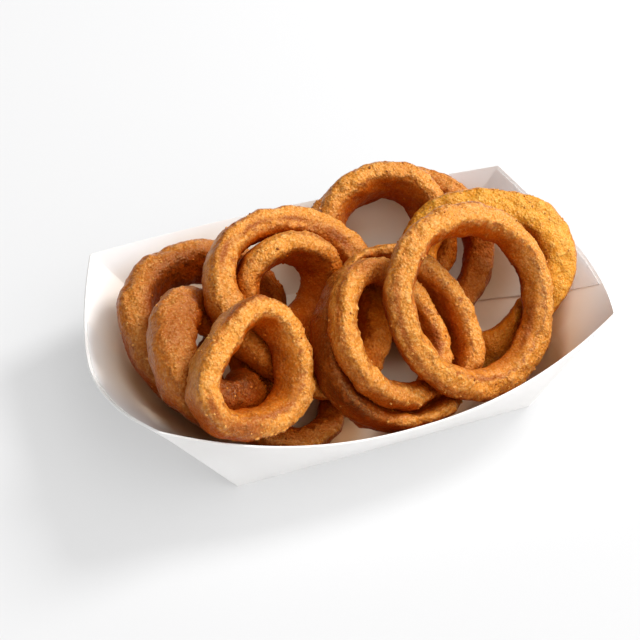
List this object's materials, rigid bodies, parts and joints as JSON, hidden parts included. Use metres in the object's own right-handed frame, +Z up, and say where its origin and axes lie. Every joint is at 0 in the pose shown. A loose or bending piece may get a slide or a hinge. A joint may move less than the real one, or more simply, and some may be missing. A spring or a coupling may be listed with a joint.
{
  "type": "onion rings in a paperboard food tray",
  "caption": "Heap of battered, fried onion rings, each a separate leaning ring, in a white folded paperboard food tray with bowed walls and a flat base.",
  "frame": {"origin": "on the floor, under the centre of the tray's flat base", "axes": "+X along the tray towards its right end, +Y from the front wall to the back wall, +Z up"},
  "size_m": [0.1886, 0.1233, 0.0681],
  "materials": {
    "card": "matt bleached food board, slightly warm white",
    "crust_golden": "fried batter, golden brown, finely granular with a faint oily sheen",
    "crust_yellow": "fried batter, paler yellow gold, smoother, with a faint oily sheen",
    "crust_brown": "fried batter, deeper brown, finely granular with a faint oily sheen"
  },
  "bodies": {
    "root": {"tray": "card", "ring_right_front": "crust_golden", "ring_right_back": "crust_yellow", "ring_middle_large": "crust_golden", "ring_middle_small": "crust_golden", "ring_front_left": "crust_golden", "ring_far_left": "crust_brown", "ring_left_small": "crust_brown", "ring_left_large": "crust_golden", "ring_left_inner": "crust_golden", "ring_rear_small": "crust_golden", "ring_rear_large": "crust_brown", "ring_floor_left": "crust_brown"}
  },
  "joints": []
}
